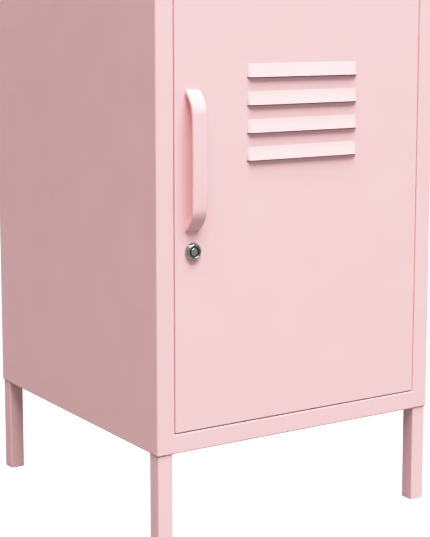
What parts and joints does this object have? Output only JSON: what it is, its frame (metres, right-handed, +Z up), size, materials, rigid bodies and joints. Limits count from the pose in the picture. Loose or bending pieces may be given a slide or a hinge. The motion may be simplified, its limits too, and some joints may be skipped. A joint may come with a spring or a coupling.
{
  "type": "locker cabinet",
  "caption": "Small steel locker cabinet on square legs, with one louvred door, a bow handle, a cam lock and a shelf inside.",
  "frame": {"origin": "on the floor, under the middle of the cabinet's outline with its handle and back screws", "axes": "+Z up, door faces -Y, +X to the right of someone facing the door"},
  "size_m": [0.38, 0.4188, 0.7],
  "materials": {
    "painted_steel": "pale pink powder coat, semi-gloss",
    "plated_steel": "bright zinc plate",
    "chrome": "satin chrome plate",
    "nylon": "moulded, coloured to match the paint",
    "rubber": "matt"
  },
  "bodies": {
    "cabinet": {"back_panel": "painted_steel", "back_screw_high_left": "plated_steel", "back_screw_high_right": "plated_steel", "back_screw_low_left": "plated_steel", "back_screw_low_right": "plated_steel", "back_screw_middle_left": "plated_steel", "back_screw_middle_right": "plated_steel", "bottom_panel": "painted_steel", "door_bumper_lower": "rubber", "door_bumper_upper": "rubber", "foot_cap_back_left": "nylon", "foot_cap_back_right": "nylon", "foot_cap_front_left": "nylon", "foot_cap_front_right": "nylon", "front_frame": "painted_steel", "hinge_pin_lower": "plated_steel", "hinge_pin_upper": "plated_steel", "left_side_panel": "painted_steel", "leg_back_left": "painted_steel", "leg_back_right": "painted_steel", "leg_bolt_back_left": "plated_steel", "leg_bolt_back_right": "plated_steel", "leg_bolt_front_left": "plated_steel", "leg_bolt_front_right": "plated_steel", "leg_front_left": "painted_steel", "leg_front_right": "painted_steel", "right_side_panel": "painted_steel", "shelf": "painted_steel", "shelf_bracket_back_left": "painted_steel", "shelf_bracket_back_right": "painted_steel", "shelf_bracket_front_left": "painted_steel", "shelf_bracket_front_right": "painted_steel", "top_panel": "painted_steel"},
    "door": {"door_panel": "painted_steel", "door_stiffener": "painted_steel", "handle": "painted_steel", "handle_screw_lower": "plated_steel", "handle_screw_upper": "plated_steel", "hinge_bush_lower": "nylon", "hinge_bush_upper": "nylon", "lock_housing": "chrome", "lock_nut": "plated_steel"},
    "lock": {"lock_plug": "chrome", "lock_cam": "plated_steel", "cam_screw": "plated_steel"}
  },
  "joints": [
    {"name": "door_hinge", "type": "hinge", "parent": "cabinet", "child": "door", "pos_m": [0.1562, -0.18835, 0.4], "axis": [0, 0, 1], "range_deg": [0, 120]},
    {"name": "lock_turn", "type": "hinge", "parent": "door", "child": "lock", "pos_m": [-0.145, -0.19255, 0.3365], "axis": [0, 1, 0], "range_deg": [0, 90]}
  ]
}
